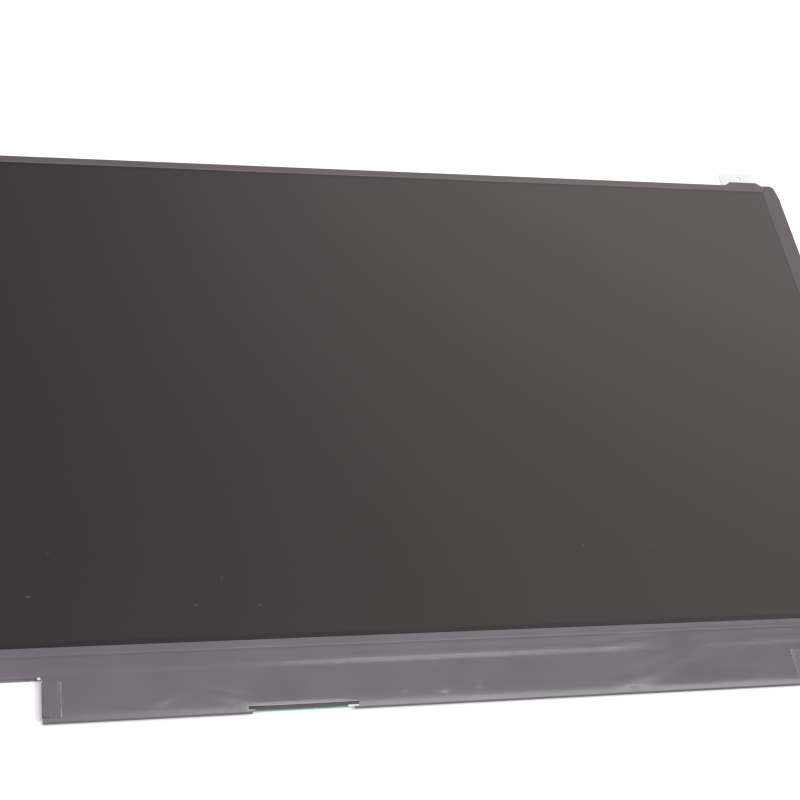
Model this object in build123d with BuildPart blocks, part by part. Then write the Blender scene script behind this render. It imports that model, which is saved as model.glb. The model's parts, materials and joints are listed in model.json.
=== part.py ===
from build123d import *
import os

# Liquid crystal screen panel of a laptop, lying on its back, in millimetres.
# The origin is the middle of the active area on the plane of the back.
# +X runs along the long side, +Y to the display's top edge, +Z out of the display.

# Display area, the borders round it and the flap below
active_width = 344.23
active_height = 193.54
side_border = 7.635
top_border = 4.7
bottom_border = 11.26
flap_reach = 14.3
upper_corner_radius = 2.0
lower_corner_radius = 2.5
shoulder_draw = 1.3
shoulder_length = 8.0

# Gauges of the layers, from the back to the front
plate_gauge = 0.3
reflector_gauge = 0.2
guide_gauge = 0.6
diffuser_gauge = 0.1
prism_gauge = 0.15
optical_gap = 0.1
rear_polarizer_gauge = 0.15
glass_gauge = 0.5
front_polarizer_gauge = 0.2

# Films and tapes
film_gauge = 0.1
tape_gauge = 0.1
tape_gap = 0.15
tape_bend = 0.3
tape_return = 4.0
seam_gap = 0.15

# Liquid crystal cell
polarizer_side_margin = 0.45
polarizer_top_margin = 1.25
polarizer_bottom_margin = 1.6
polarizer_corner = 0.8
glass_margin = 1.2
seal_strip = 2.6
bonding_ledge = 4.4
rear_polarizer_margin = 0.5
cell_fit = 0.25
foam_inset = 0.1

# Backlight sheets
sheet_margin = 0.8
sheet_bottom_margin = 2.0
guide_bottom_margin = 2.9
sheet_fit = 0.2
sheet_tab_length = 6.0
sheet_tab_depth = 0.9
sheet_tab_spacing = 120.0

# Lamp strip along the lower edge
flex_gauge = 0.12
strip_overlap = 1.5
strip_width = 4.0
reflector_strip_gap = 0.3
lamp_count = 40
lamp_length = 3.0
lamp_depth = 0.9
lamp_height = 0.6
lamp_gap = 0.1
lamp_window_margin = 0.15
lamp_window_depth = 0.1
tail_inset = 63.85
tail_width = 8.0
tail_fit = 0.4

# Stamped back plate
field_margin = 0.6
plate_bend = 0.5
side_flange_drop = 0.55
lower_flange_drop = 0.35
corner_opening = 6.0
field_slope = 45
ear_inset = 14.6
ear_width = 16.5
ear_reach = 9.2
ear_corner = 2.5
ear_hole_radius = 1.25
ear_hole_reach = 5.6
ear_clearance = 1.0

# Moulded frame
frame_fit = 0.1
lower_rail_step = 0.15
lower_ledge = 3.12
driver_relief = 0.25
boss_base = 16.2
boss_crest = 11.8
boss_reach = 1.55
frame_chamfer = 0.25
hook_length = 7.0
hook_height = 0.6
hook_depth = 0.3
hook_fit = 0.1
side_hook_spacing = 70.0
side_hook_count = 3
top_hook_spacing = 75.0
top_hook_count = 4

# Control board in the flap below the lower edge
flap_left_inset = 55.05
flap_right_inset = 53.65
board_gauge = 0.6
part_room = 0.85
board_gap = 0.7
board_corner = 0.8
board_fit = 0.15
film_slack = 0.8

# Driver films from the glass to the board
driver_count = 4
driver_end_inset = 16.15
driver_width = 38.0
driver_gauge = 0.08
driver_bend = 0.4
glass_bond = 2.2
board_bond = 1.6
board_bond_start = 0.4
chip_length = 18.0
chip_width = 1.0
chip_height = 0.35

# Cover film over the lower edge and the board
film_lift = 0.02
film_end_inset = 0.35
film_step = 0.7
film_bend = 0.15
bend_clearance = 0.15
film_return = 3.4
flap_return = 2.6
relief_radius = 0.9
relief_offset_x = 0.85
relief_offset_y = 0.45
wall_gap = 2.4
notch_left_inset = 115.7
notch_width = 34.05
notch_depth = 2.3

# Tapes round the board's ends
end_tape_length = 5.75
end_tape_return = 4.0
end_tape_start = 0.35

# Clear film under the board
back_film_margin = 2.0
back_film_overlap = 3.3
back_film_setback = 0.8
back_film_corner = 1.5
back_film_notch = 5.8

# Display socket on the board's back
socket_setback = 0.3
socket_length = 21.0
socket_depth = 3.9
socket_height = 0.8
socket_base = 0.3
socket_rear_wall = 0.9
socket_cheek = 1.2
shell_gauge = 0.12
shell_fit = 0.05
shell_window = 3.2
shell_window_height = 1.0
shell_window_count = 3
shell_window_spacing = 6.4
contact_count = 30
contact_pitch = 0.5
contact_width = 0.2
contact_gauge = 0.1
contact_setback = 0.4
contact_drop = 0.25
contact_foot = 0.6
contact_fit = 0.02

# Other parts on the board's back
backlight_socket_length = 11.0
backlight_socket_depth = 3.2
backlight_socket_reach = 3.2
controller_size = 8.0
controller_inset = 121.85
driver_chip_size = 4.0
driver_chip_inset = 85.85
coil_size = 4.2
coil_corner = 1.0
coil_inset = 75.85
capacitor_length = 1.6
capacitor_width = 0.8
capacitor_height = 0.7
capacitor_count = 10
capacitor_pitch = 4.6
capacitor_inset = 29.85
parts_row = 6.0
part_chamfer = 0.15
part_gap = 0.02

# Outline positions
half_width = active_width / 2 + side_border
y_top = active_height / 2 + top_border
y_bottom = -active_height / 2 - bottom_border
y_flap = y_bottom - flap_reach

# Levels of the layers
z_rim = reflector_gauge
z_seat = z_rim + plate_gauge
z_diffuser = z_seat + guide_gauge
z_lower_prism = z_diffuser + diffuser_gauge
z_upper_prism = z_lower_prism + prism_gauge
z_ledge = z_upper_prism + prism_gauge
z_rear_polarizer = z_ledge + optical_gap
z_array = z_rear_polarizer + rear_polarizer_gauge
z_filter = z_array + glass_gauge
z_face = z_filter + glass_gauge
z_board = z_rim + part_room
z_board_top = z_board + board_gauge
side_flange_top = z_face - side_flange_drop
lower_flange_top = z_board_top - lower_flange_drop
lower_rail_top = z_array + lower_rail_step
driver_relief_top = z_board_top - driver_relief
hook_level = z_ledge

# Extents of the cell
polarizer_x = active_width / 2 + polarizer_side_margin
polarizer_top = active_height / 2 + polarizer_top_margin
polarizer_bottom = -active_height / 2 - polarizer_bottom_margin
glass_x = polarizer_x + glass_margin
glass_top = polarizer_top + glass_margin
filter_bottom = polarizer_bottom - seal_strip
array_bottom = filter_bottom - bonding_ledge
ledge_end = array_bottom - bend_clearance

# Extents of the sheets and of the opening that holds them
sheet_x = active_width / 2 + sheet_margin
sheet_top = active_height / 2 + sheet_margin
sheet_bottom = -active_height / 2 - sheet_bottom_margin
guide_bottom = -active_height / 2 - guide_bottom_margin
opening_x = sheet_x + sheet_fit
opening_top = sheet_top + sheet_fit
opening_bottom = array_bottom - cell_fit + lower_ledge
strip_top = guide_bottom + strip_overlap
strip_bottom = strip_top - strip_width

# Extents of the plate, inside its tapes, and of the frame inside the plate
plate_x = half_width - tape_gauge
plate_top = y_top - tape_gauge
plate_bottom = y_bottom + film_gauge
frame_x = plate_x - plate_gauge - frame_fit
frame_top = plate_top - plate_gauge - frame_fit
frame_bottom = plate_bottom + plate_gauge + frame_fit
ear_x = half_width - ear_inset

# Extents of the flap and the board
flap_left = -half_width + flap_left_inset
flap_right = half_width - flap_right_inset
flap_middle = (flap_left + flap_right) / 2
board_left = flap_left + tape_gauge + board_fit
board_right = flap_right - tape_gauge - board_fit
board_top = y_bottom - board_gap
board_bottom = y_flap + film_gauge + film_slack
notch_left = -half_width + notch_left_inset
notch_right = notch_left + notch_width
socket_x = (notch_left + notch_right) / 2
parts_y = board_top - parts_row
parts_level = z_rim + part_gap
driver_spacing = (board_right - board_left - driver_width - 2 * driver_end_inset) / (driver_count - 1)
tail_x = board_right - tail_inset
controller_x = board_right - controller_inset
driver_chip_x = board_right - driver_chip_inset
coil_x = board_right - coil_inset
capacitor_x = board_right - capacitor_inset


def span(x_min, x_max, y_min, y_max):
    """Rectangle between two corners, in the sketch that is open."""
    with Locations(((x_min + x_max) / 2, (y_min + y_max) / 2)):
        Rectangle(x_max - x_min, y_max - y_min)


def rounded_outline(plane, x, y_min, y_max):
    """Outline even about X = 0. Its sides draw in below the upper corners, and all corners are round."""
    with BuildSketch(plane) as outline:
        with BuildLine():
            Polyline(
                (-x, y_min),
                (x, y_min),
                (x, y_max - shoulder_length),
                (x - shoulder_draw, y_max),
                (-x + shoulder_draw, y_max),
                (-x, y_max - shoulder_length),
                close=True,
            )
        make_face()
        fillet(outline.vertices().group_by(Axis.Y)[-1], radius=upper_corner_radius)
        fillet(outline.vertices().group_by(Axis.Y)[0], radius=lower_corner_radius)
    return outline.sketch


def folded_section(plane, path, bend, gauge, side):
    """Section of a folded strip, whose one face follows the path. A bend of 0 is a sharp fold."""
    with BuildSketch(plane) as section:
        with BuildLine():
            FilletPolyline(*path, radius=bend)
            offset(amount=gauge, side=side, kind=Kind.INTERSECTION)
        make_face()
    return section.sketch


def sheet_outline(plane, y_min):
    """Outline of a backlight sheet, with the tabs that locate it in the frame."""
    with BuildSketch(plane) as outline:
        span(-sheet_x, sheet_x, y_min, sheet_top)
        with GridLocations(2 * sheet_x, sheet_tab_spacing, 2, 2):
            Rectangle(2 * sheet_tab_depth, sheet_tab_length)
    return outline.sketch


def boss_outline(plane, y_base):
    """Tapered outlines of the two bosses that stand out over the upper ears."""
    with BuildSketch(plane) as outline:
        for x in (-ear_x, ear_x):
            with BuildLine():
                Polyline(
                    (x - boss_base / 2, y_base),
                    (x - boss_base / 2, y_top),
                    (x - boss_crest / 2, y_top + boss_reach),
                    (x + boss_crest / 2, y_top + boss_reach),
                    (x + boss_base / 2, y_top),
                    (x + boss_base / 2, y_base),
                    close=True,
                )
            make_face()
    return outline.sketch


# Stamped back plate: a tray with a pressed field, folded walls and four screw ears
with BuildPart() as back_plate:
    rim_plane = Plane.XY.offset(z_rim)
    extrude(
        rounded_outline(rim_plane, plate_x, plate_bottom, plate_top),
        amount=side_flange_top - z_rim,
    )
    fillet(back_plate.edges().group_by(Axis.Z)[0], radius=plate_bend)
    with BuildSketch(rim_plane):
        field_x = sheet_x + field_margin + z_rim
        span(-field_x, field_x, strip_bottom - field_margin, sheet_top + field_margin)
    extrude(amount=-z_rim, taper=field_slope)
    offset(amount=-plate_gauge, openings=back_plate.faces().sort_by(Axis.Z)[-1])
    # Walls end short of the corners, and the lower wall is low under the driver films
    with BuildSketch(Plane.XY.offset(z_seat)):
        for x in (-plate_x, plate_x):
            for y in (plate_bottom, plate_top):
                with Locations((x, y)):
                    Rectangle(2 * corner_opening, 2 * corner_opening)
    extrude(amount=side_flange_top, mode=Mode.SUBTRACT)
    with BuildSketch(Plane.XY.offset(lower_flange_top)):
        span(-plate_x, plate_x, plate_bottom, plate_bottom + 2 * plate_gauge)
    extrude(amount=side_flange_top, mode=Mode.SUBTRACT)
    # Wall opening at each upper ear, round the boss
    with BuildSketch(Plane.XY.offset(z_seat)):
        for x in (-ear_x, ear_x):
            with Locations((x, plate_top)):
                Rectangle(boss_base + 2 * ear_clearance, 2 * plate_bend)
    extrude(amount=side_flange_top, mode=Mode.SUBTRACT)
    # Screw ears at rim level
    with BuildSketch(rim_plane):
        for x in (-ear_x, ear_x):
            for edge, way in ((plate_top - plate_bend, 1), (plate_bottom + plate_bend, -1)):
                reach = ear_reach + tape_gauge + plate_bend
                with Locations((x, edge + way * reach / 2)):
                    RectangleRounded(ear_width, reach, ear_corner)
                with Locations((x, edge + way * ear_corner / 2)):
                    Rectangle(ear_width, ear_corner)
    extrude(amount=plate_gauge)
    for y in (y_top + ear_hole_reach, y_bottom - ear_hole_reach):
        with Locations((-ear_x, y, z_seat), (ear_x, y, z_seat)):
            Hole(radius=ear_hole_radius)
    # Windows that the frame's hooks snap into
    with BuildSketch(Plane.YZ) as side_windows:
        with Locations((0, hook_level)):
            with GridLocations(side_hook_spacing, 0, side_hook_count, 1):
                Rectangle(hook_length + 2 * hook_fit, hook_height + 2 * hook_fit)
    extrude(amount=half_width, both=True, mode=Mode.SUBTRACT)
    with BuildSketch(Plane.XZ.offset(-frame_top)) as top_windows:
        with Locations((0, hook_level)):
            with GridLocations(top_hook_spacing, 0, top_hook_count, 1):
                Rectangle(hook_length + 2 * hook_fit, hook_height + 2 * hook_fit)
    extrude(amount=-(y_top - frame_top), mode=Mode.SUBTRACT)
    # Gap in the lower edge for the tail of the lamp strip
    with BuildSketch(Plane.XY):
        span(
            tail_x - tail_width / 2 - tail_fit,
            tail_x + tail_width / 2 + tail_fit,
            y_bottom,
            strip_bottom,
        )
    extrude(amount=side_flange_top, mode=Mode.SUBTRACT)

# Moulded frame: holds the sheets in its opening and the cell on its ledge
with BuildPart() as moulded_frame:
    seat_plane = Plane.XY.offset(z_seat)
    extrude(
        rounded_outline(seat_plane, frame_x, frame_bottom, frame_top),
        amount=z_face - z_seat,
    )
    chamfer(moulded_frame.edges().group_by(Axis.Z)[0], length=frame_chamfer)
    extrude(boss_outline(seat_plane, frame_top - plate_bend), amount=z_face - z_seat)
    with BuildSketch(seat_plane):
        span(-opening_x, opening_x, opening_bottom, opening_top)
        with GridLocations(2 * opening_x, sheet_tab_spacing, 2, 2):
            Rectangle(2 * sheet_tab_depth + sheet_fit, sheet_tab_length + 2 * sheet_fit)
    extrude(amount=z_face - z_seat, mode=Mode.SUBTRACT)
    # Pocket for the cell
    with BuildSketch(Plane.XY.offset(z_ledge)):
        span(-glass_x - cell_fit, glass_x + cell_fit, array_bottom - cell_fit, glass_top + cell_fit)
    extrude(amount=z_face - z_ledge, mode=Mode.SUBTRACT)
    # The frame steps down beside the bonding ledge and again at the lower rail
    with BuildSketch(Plane.XY.offset(z_filter)):
        span(-half_width, half_width, y_bottom, filter_bottom)
    extrude(amount=z_face - z_filter, mode=Mode.SUBTRACT)
    with BuildSketch(Plane.XY.offset(lower_rail_top)):
        span(-half_width, half_width, y_bottom, array_bottom - cell_fit)
    extrude(amount=z_face - lower_rail_top, mode=Mode.SUBTRACT)
    # Relief under the driver films and their chips
    with BuildSketch(Plane.XY.offset(driver_relief_top)):
        with Locations((flap_middle, array_bottom - cell_fit)):
            with GridLocations(driver_spacing, 0, driver_count, 1):
                Rectangle(driver_width + 2 * cell_fit, 2 * (array_bottom - cell_fit - y_bottom))
    extrude(amount=z_face - driver_relief_top, mode=Mode.SUBTRACT)
    # Hooks on the outer walls
    with BuildSketch(Plane.YZ.offset(-frame_x - hook_depth)):
        with Locations((0, hook_level)):
            with GridLocations(side_hook_spacing, 0, side_hook_count, 1):
                Rectangle(hook_length, hook_height)
    extrude(amount=hook_depth)
    with BuildSketch(Plane.YZ.offset(frame_x)):
        with Locations((0, hook_level)):
            with GridLocations(side_hook_spacing, 0, side_hook_count, 1):
                Rectangle(hook_length, hook_height)
    extrude(amount=hook_depth)
    with BuildSketch(Plane.XZ.offset(-frame_top)):
        with Locations((0, hook_level)):
            with GridLocations(top_hook_spacing, 0, top_hook_count, 1):
                Rectangle(hook_length, hook_height)
    extrude(amount=-hook_depth)

# Backlight sheets, from the back to the front
with BuildPart() as reflector_sheet:
    with BuildSketch(Plane.XY.offset(plate_gauge)):
        span(-sheet_x, sheet_x, strip_top + reflector_strip_gap, sheet_top)
    extrude(amount=reflector_gauge)

with BuildPart() as light_guide:
    extrude(sheet_outline(Plane.XY.offset(z_seat), guide_bottom), amount=guide_gauge)

with BuildPart() as diffuser_sheet:
    extrude(sheet_outline(Plane.XY.offset(z_diffuser), sheet_bottom), amount=diffuser_gauge)

with BuildPart() as lower_prism_sheet:
    extrude(sheet_outline(Plane.XY.offset(z_lower_prism), sheet_bottom), amount=prism_gauge)

with BuildPart() as upper_prism_sheet:
    extrude(sheet_outline(Plane.XY.offset(z_upper_prism), sheet_bottom), amount=prism_gauge)

# Lamp strip: a flex circuit with a tail that runs out to the board
backlight_socket_y = board_top - backlight_socket_reach
with BuildPart() as led_strip:
    with BuildSketch(Plane.XY.offset(plate_gauge)):
        span(-active_width / 2, active_width / 2, strip_bottom, strip_top)
        span(
            tail_x - tail_width / 2,
            tail_x + tail_width / 2,
            backlight_socket_y - backlight_socket_depth / 2,
            strip_bottom,
        )
    extrude(amount=flex_gauge)

# Side-emitting lamps on the strip, each with a shallow window towards the light guide
lamp_plane = Plane.XY.offset(plate_gauge + flex_gauge)
lamp_front = guide_bottom - lamp_gap
lamp_pitch = active_width / lamp_count
with BuildPart() as leds:
    with BuildSketch(lamp_plane):
        with Locations((0, lamp_front - lamp_depth / 2)):
            with GridLocations(lamp_pitch, 0, lamp_count, 1):
                Rectangle(lamp_length, lamp_depth)
    extrude(amount=lamp_height)
    with BuildSketch(Plane.XZ.offset(-lamp_front)):
        with Locations((0, lamp_plane.origin.Z + lamp_height / 2)):
            with GridLocations(lamp_pitch, 0, lamp_count, 1):
                Rectangle(lamp_length - 2 * lamp_window_margin, lamp_height - 2 * lamp_window_margin)
    extrude(amount=lamp_window_depth, mode=Mode.SUBTRACT)

# Liquid crystal cell and its polarizers
with BuildPart() as cell_foam_tape:
    with BuildSketch(Plane.XY.offset(z_ledge)):
        span(
            -glass_x + foam_inset,
            glass_x - foam_inset,
            array_bottom + foam_inset,
            glass_top - foam_inset,
        )
        with BuildSketch(mode=Mode.SUBTRACT):
            span(
                -opening_x - foam_inset,
                opening_x + foam_inset,
                opening_bottom - foam_inset,
                opening_top + foam_inset,
            )
    extrude(amount=z_array - z_ledge)

with BuildPart() as rear_polarizer:
    with BuildSketch(Plane.XY.offset(z_rear_polarizer)):
        rear_x = active_width / 2 + rear_polarizer_margin
        rear_y = active_height / 2 + rear_polarizer_margin
        span(-rear_x, rear_x, -rear_y, rear_y)
    extrude(amount=rear_polarizer_gauge)

with BuildPart() as tft_glass:
    with BuildSketch(Plane.XY.offset(z_array)):
        span(-glass_x, glass_x, array_bottom, glass_top)
    extrude(amount=glass_gauge)

with BuildPart() as colour_filter_glass:
    with BuildSketch(Plane.XY.offset(z_filter)):
        span(-glass_x, glass_x, filter_bottom, glass_top)
    extrude(amount=glass_gauge)

with BuildPart() as front_polarizer:
    with BuildSketch(Plane.XY.offset(z_face)) as polarizer_outline:
        span(-polarizer_x, polarizer_x, polarizer_bottom, polarizer_top)
        chamfer(polarizer_outline.vertices(), length=polarizer_corner)
    extrude(amount=front_polarizer_gauge)

# Control board
with BuildPart() as control_board:
    with BuildSketch(Plane.XY.offset(z_board)) as board_outline:
        span(board_left, board_right, board_bottom, board_top)
        fillet(board_outline.vertices(), radius=board_corner)
    extrude(amount=board_gauge)

# Driver films: bonded to the glass ledge, then down to the board's front
driver_end = board_top - board_bond_start - board_bond
driver_foot = board_top - board_bond_start
driver_path = [
    (array_bottom + glass_bond, z_filter),
    (ledge_end, z_filter),
    (driver_foot, z_board_top),
    (driver_end, z_board_top),
]
with BuildPart() as driver_films:
    for film in range(driver_count):
        film_x = flap_middle + (film - (driver_count - 1) / 2) * driver_spacing
        section_plane = Plane.YZ.offset(film_x - driver_width / 2)
        extrude(
            folded_section(section_plane, driver_path, driver_bend, driver_gauge, Side.RIGHT),
            amount=driver_width,
        )

# Driver chips on the underside of the films
driver_slope = Vector(0, driver_foot - ledge_end, z_board_top - z_filter)
chip_normal = Vector(1, 0, 0).cross(driver_slope).normalized()
chip_middle = Vector(0, (ledge_end + driver_foot) / 2, (z_filter + z_board_top) / 2)
with BuildPart() as driver_chips:
    chip_origin = chip_middle + Vector(flap_middle, 0, 0) + chip_normal * part_gap
    with BuildSketch(Plane(chip_origin, x_dir=(1, 0, 0), z_dir=chip_normal)):
        with GridLocations(driver_spacing, 0, driver_count, 1):
            Rectangle(chip_length, chip_width)
    extrude(amount=chip_height)

# Cover film: stuck to the glass, down over the bonding ledge, then two kinds of tail
film_ledge = z_filter + driver_gauge + film_lift
film_board = z_board_top + driver_gauge + film_lift
film_slope = (film_board - film_ledge) / (driver_foot - ledge_end)
wall_y = plate_bottom
wall_level = film_ledge + film_slope * (wall_y - ledge_end)
strip_y = y_bottom + relief_offset_y
strip_level = film_ledge + film_slope * (strip_y - ledge_end)
film_top_path = [
    (polarizer_bottom - tape_gap, z_face),
    (filter_bottom - bend_clearance, z_face),
    (filter_bottom - film_step, film_ledge),
    (ledge_end, film_ledge),
]
film_strip_path = film_top_path + [(strip_y, strip_level)]
film_wall_path = film_top_path + [
    (wall_y, wall_level),
    (wall_y, z_rim),
    (wall_y + film_return, z_rim),
]
film_flap_path = film_top_path + [
    (driver_foot, film_board),
    (y_flap + film_gauge, film_board),
    (y_flap + film_gauge, z_board),
    (y_flap + film_gauge + flap_return, z_board),
]
film_end = half_width - film_end_inset
flap_start = flap_left + tape_gauge + board_fit
flap_end = flap_right - tape_gauge - board_fit
ear_gap = ear_width / 2 + ear_clearance
film_spans = [
    (-film_end, -ear_x - ear_gap, film_wall_path),
    (-ear_x - ear_gap, -ear_x + ear_gap, film_strip_path),
    (-ear_x + ear_gap, flap_left - wall_gap, film_wall_path),
    (flap_left - wall_gap, flap_start, film_strip_path),
    (flap_start, flap_end, film_flap_path),
    (flap_end, flap_right + wall_gap, film_strip_path),
    (flap_right + wall_gap, ear_x - ear_gap, film_wall_path),
    (ear_x - ear_gap, ear_x + ear_gap, film_strip_path),
    (ear_x + ear_gap, film_end, film_wall_path),
]
with BuildPart() as board_cover_film:
    for start, end, path in film_spans:
        extrude(
            folded_section(Plane.YZ.offset(start), path, film_bend, film_gauge, Side.RIGHT),
            amount=end - start,
        )
    # Round reliefs at the inner corners and the notch over the display socket
    with BuildSketch(Plane.XY):
        with Locations(
            (flap_left - relief_offset_x, strip_y),
            (flap_right + relief_offset_x, strip_y),
        ):
            Circle(relief_radius)
        span(notch_left, notch_right, y_flap, y_flap + notch_depth)
        span(notch_left, notch_right, y_flap, y_flap + film_gauge + flap_return)
    extrude(amount=z_face, mode=Mode.SUBTRACT)

# Tapes round the ends of the board, over the cover film
film_top = film_board + film_gauge
end_tape_high = driver_foot - end_tape_start
end_tape_low = y_flap + film_gauge + flap_return + seam_gap
end_tape_wall = flap_left + tape_gauge
end_tape_path = [
    (flap_left + end_tape_length, film_top),
    (end_tape_wall, film_top),
    (end_tape_wall, z_board),
    (end_tape_wall + end_tape_return, z_board),
]
with BuildPart() as left_end_tape:
    extrude(
        folded_section(Plane.XZ.offset(-end_tape_high), end_tape_path, film_bend, tape_gauge, Side.RIGHT),
        amount=end_tape_high - end_tape_low,
    )

with BuildPart() as right_end_tape:
    mirror(left_end_tape.part, about=Plane.YZ.offset(flap_middle))

# Edge tapes: from the glass over the rim and under the plate
tape_x = polarizer_x + tape_gap
tape_low = y_bottom + film_return + tape_gap
tape_high = y_top - shoulder_length - tape_bend
fold_gap = ear_width / 2 + seam_gap
side_tape_path = [
    (tape_x, z_face),
    (plate_x, z_face),
    (plate_x, z_rim),
    (plate_x - tape_return, z_rim),
]
with BuildPart() as right_edge_tape:
    extrude(
        folded_section(Plane.XZ.offset(-tape_high), side_tape_path, tape_bend, tape_gauge, Side.LEFT),
        amount=tape_high - tape_low,
    )
    # The cover film takes the tape's place on top, below the display
    with BuildSketch(Plane.XY.offset(z_face - tape_bend)):
        span(0, half_width, tape_low, polarizer_bottom - tape_gap)
    extrude(amount=z_face, mode=Mode.SUBTRACT)
    # Rounded upper corner, where the side draws in
    with BuildSketch(Plane.XY.offset(z_face)) as tape_corner:
        with BuildLine():
            Polyline(
                (tape_x, tape_high),
                (half_width, tape_high),
                (half_width, y_top - shoulder_length),
                (half_width - shoulder_draw, y_top),
                (tape_x, y_top),
                close=True,
            )
        make_face()
        fillet(tape_corner.vertices().group_by(Axis.Y)[-1].sort_by(Axis.X)[-1], radius=upper_corner_radius)
    extrude(amount=tape_gauge)
    # The top tape takes its place beside the boss
    with BuildSketch(Plane.XY.offset(z_face)):
        span(0, ear_x + fold_gap + seam_gap, polarizer_top + tape_gap - seam_gap, y_top)
    extrude(amount=tape_gauge, mode=Mode.SUBTRACT)

with BuildPart() as left_edge_tape:
    mirror(right_edge_tape.part, about=Plane.YZ)

top_tape_path = [
    (polarizer_top + tape_gap, z_face),
    (plate_top, z_face),
    (plate_top, z_rim),
    (plate_top - tape_return / 2, z_rim),
]
with BuildPart() as top_edge_tape:
    extrude(
        folded_section(Plane.YZ.offset(fold_gap - ear_x), top_tape_path, tape_bend, tape_gauge, Side.LEFT),
        amount=2 * (ear_x - fold_gap),
    )
    with BuildSketch(Plane.XY.offset(z_face)):
        for x in (-ear_x, ear_x):
            span(x - fold_gap, x + fold_gap, polarizer_top + tape_gap, y_top)
    extrude(amount=tape_gauge)
    extrude(boss_outline(Plane.XY.offset(z_face), y_top - tape_bend), amount=tape_gauge)

# Display socket: insulating housing, metal shell and a row of contacts
socket_plane = Plane(
    origin=(socket_x, board_bottom + socket_setback, z_board),
    x_dir=(1, 0, 0),
    z_dir=(0, 0, -1),
)
with BuildPart() as socket_housing:
    with BuildSketch(socket_plane):
        with Locations((0, -socket_depth / 2)):
            Rectangle(socket_length, socket_depth)
    extrude(amount=socket_height)
    with BuildSketch(socket_plane.offset(socket_base)):
        with Locations((0, -(socket_depth - socket_rear_wall) / 2)):
            Rectangle(socket_length - 2 * socket_cheek, socket_depth - socket_rear_wall)
    extrude(amount=socket_height, mode=Mode.SUBTRACT)
    with BuildSketch(socket_plane.offset(socket_base)):
        with Locations((0, -socket_depth)):
            with GridLocations(contact_pitch, 0, contact_count, 1):
                Rectangle(contact_width + 2 * contact_fit, 2 * socket_rear_wall + 2 * contact_fit)
    extrude(amount=contact_gauge + contact_fit, mode=Mode.SUBTRACT)

shell_x = socket_length / 2 + shell_fit
with BuildPart() as socket_shell:
    shell_path = [
        (-shell_x, 0),
        (-shell_x, -socket_height),
        (shell_x, -socket_height),
        (shell_x, 0),
    ]
    shell_section_plane = Plane(socket_plane.origin, x_dir=(1, 0, 0), z_dir=(0, -1, 0))
    extrude(
        folded_section(shell_section_plane, shell_path, shell_fit, shell_gauge, Side.RIGHT),
        amount=-socket_depth,
    )
    with BuildSketch(socket_plane.offset(socket_height)):
        with Locations((0, -socket_depth / 2)):
            with GridLocations(shell_window_spacing, 0, shell_window_count, 1):
                Rectangle(shell_window, shell_window_height)
    extrude(amount=2 * shell_gauge, mode=Mode.SUBTRACT)

contact_path = [
    (-contact_setback, -socket_base),
    (-socket_depth - contact_drop, -socket_base),
    (-socket_depth - contact_drop, 0),
    (-socket_depth - contact_drop - contact_foot, 0),
]
with BuildPart() as socket_contacts:
    for contact in range(contact_count):
        contact_x = (contact - (contact_count - 1) / 2) * contact_pitch
        contact_plane = Plane(
            socket_plane.origin + Vector(contact_x - contact_width / 2, 0, 0),
            x_dir=(0, -1, 0),
            z_dir=(-1, 0, 0),
        )
        extrude(
            folded_section(contact_plane, contact_path, 0, contact_gauge, Side.LEFT),
            amount=-contact_width,
        )

# Socket for the lamp strip's tail
with BuildPart() as backlight_socket:
    with BuildSketch(Plane.XY.offset(parts_level)):
        with Locations((tail_x, backlight_socket_y - backlight_socket_depth / 2)):
            Rectangle(backlight_socket_length, backlight_socket_depth)
    extrude(amount=z_board - parts_level)
    with BuildSketch(Plane.XY.offset(plate_gauge - part_gap)):
        with Locations((tail_x, backlight_socket_y)):
            Rectangle(tail_width + 2 * tail_fit, backlight_socket_depth + 2 * tail_fit)
    extrude(amount=flex_gauge + 2 * part_gap, mode=Mode.SUBTRACT)

# Chips, coil and capacitors, hanging from the board's back
with BuildPart() as timing_controller:
    with BuildSketch(Plane.XY.offset(parts_level)):
        with Locations((controller_x, parts_y)):
            Rectangle(controller_size, controller_size)
    extrude(amount=z_board - parts_level)
    chamfer(timing_controller.edges().group_by(Axis.Z)[0], length=part_chamfer)

with BuildPart() as backlight_driver:
    with BuildSketch(Plane.XY.offset(parts_level)):
        with Locations((driver_chip_x, parts_y)):
            Rectangle(driver_chip_size, driver_chip_size)
    extrude(amount=z_board - parts_level)
    chamfer(backlight_driver.edges().group_by(Axis.Z)[0], length=part_chamfer)

with BuildPart() as power_coil:
    with BuildSketch(Plane.XY.offset(parts_level)):
        with Locations((coil_x, parts_y)):
            RectangleRounded(coil_size, coil_size, coil_corner)
    extrude(amount=z_board - parts_level)
    chamfer(power_coil.edges().group_by(Axis.Z)[0], length=part_chamfer)

with BuildPart() as board_capacitors:
    with BuildSketch(Plane.XY.offset(z_board - capacitor_height)):
        with Locations((capacitor_x, parts_y)):
            with GridLocations(capacitor_pitch, 0, capacitor_count, 1):
                Rectangle(capacitor_length, capacitor_width)
    extrude(amount=capacitor_height)

# Clear film under the board, stuck to the rim and open round the display socket
with BuildPart() as board_back_film:
    with BuildSketch(Plane.XY.offset(z_rim - film_gauge)) as back_film_outline:
        span(
            flap_left - back_film_margin,
            flap_right + back_film_margin,
            board_bottom + back_film_setback,
            plate_bottom + back_film_overlap,
        )
        fillet(back_film_outline.vertices(), radius=back_film_corner)
        with BuildSketch(mode=Mode.SUBTRACT):
            span(notch_left, notch_right, board_bottom, board_bottom + back_film_notch)
    extrude(amount=film_gauge)

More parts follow.
